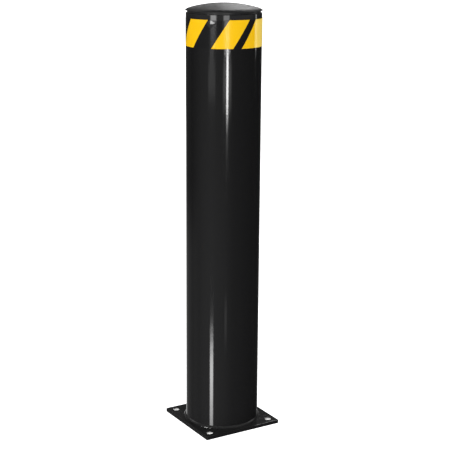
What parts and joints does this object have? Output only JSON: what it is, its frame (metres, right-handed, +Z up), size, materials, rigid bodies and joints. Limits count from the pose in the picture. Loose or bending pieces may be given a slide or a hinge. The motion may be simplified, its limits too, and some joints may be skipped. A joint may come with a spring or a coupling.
{
  "type": "surface-mounted safety bollard",
  "caption": "Round steel safety bollard on a square floor plate, with slanted yellow and black hazard tape near the top and a domed plastic cap pushed into the open tube.",
  "frame": {"origin": "centre of the base plate's underside, on the post's axis", "axes": "+Z up the post; X and Y along the sides of the square base plate"},
  "size_m": [0.184, 0.184, 0.92],
  "materials": {
    "black_paint": "glossy black paint over steel",
    "black_plastic": "matt moulded plastic",
    "yellow_tape": "semi-gloss film, yellow",
    "black_tape": "semi-gloss film, black"
  },
  "bodies": {
    "post": {"base_plate": "black_paint", "post_tube": "black_paint", "base_weld": "black_paint", "tape_yellow_stripes": "yellow_tape", "tape_black_stripes": "black_tape"},
    "cap": {"post_cap": "black_plastic"}
  },
  "joints": [
    {"name": "cap_lift", "type": "slide", "parent": "post", "child": "cap", "axis": [0, 0, 1], "range_m": [0, 0.2]}
  ]
}
